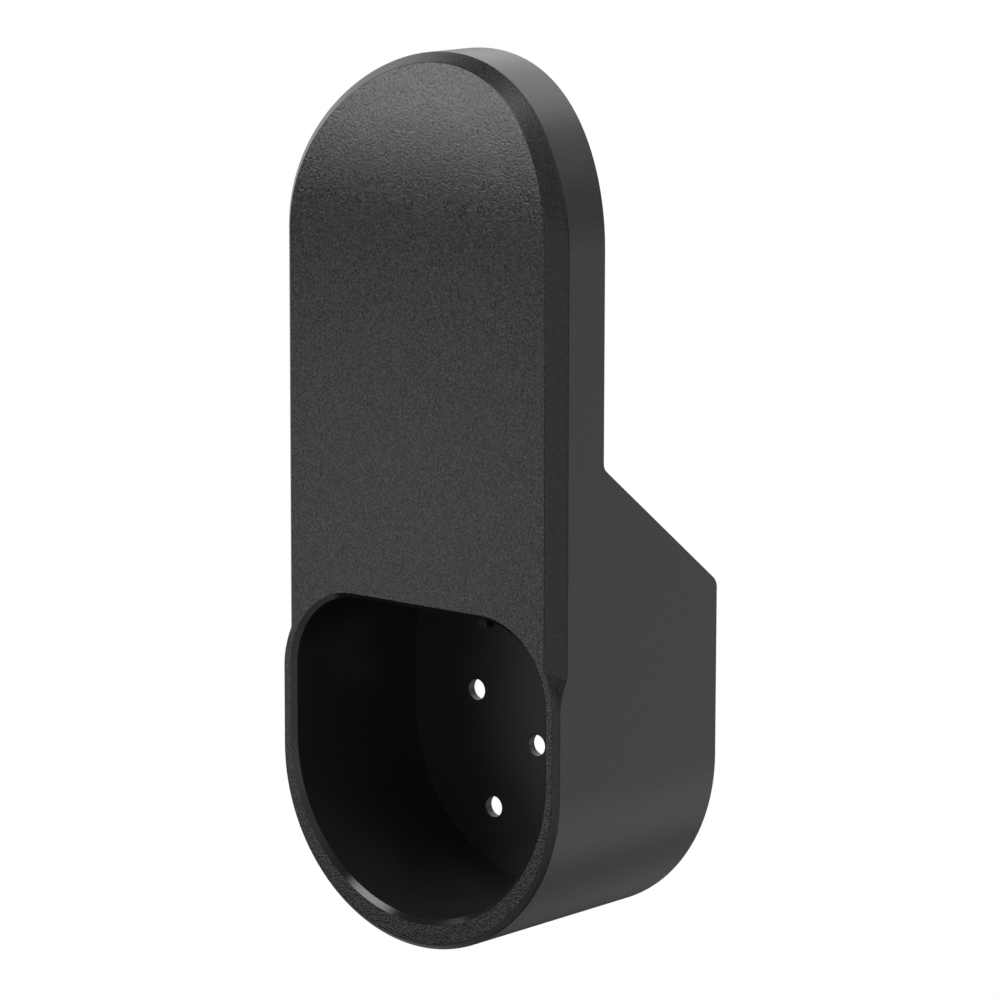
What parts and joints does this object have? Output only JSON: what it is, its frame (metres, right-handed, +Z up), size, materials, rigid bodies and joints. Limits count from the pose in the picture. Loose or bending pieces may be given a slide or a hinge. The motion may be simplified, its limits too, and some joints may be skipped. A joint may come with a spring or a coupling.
{
  "type": "ev charging plug holder",
  "caption": "Wall holder for an electric car charging plug: tall round-topped plate with a D-shaped plug socket below and a cable rest behind.",
  "frame": {"origin": "where the middle screw's axis meets the wall plane", "axes": "+X to the viewer's right, +Y into the wall, +Z up; the front face looks along -Y"},
  "size_m": [0.08, 0.055, 0.196],
  "materials": {
    "moulded_abs": "fine textured charcoal black"
  },
  "bodies": {
    "root": {"holder": "moulded_abs"}
  },
  "joints": []
}
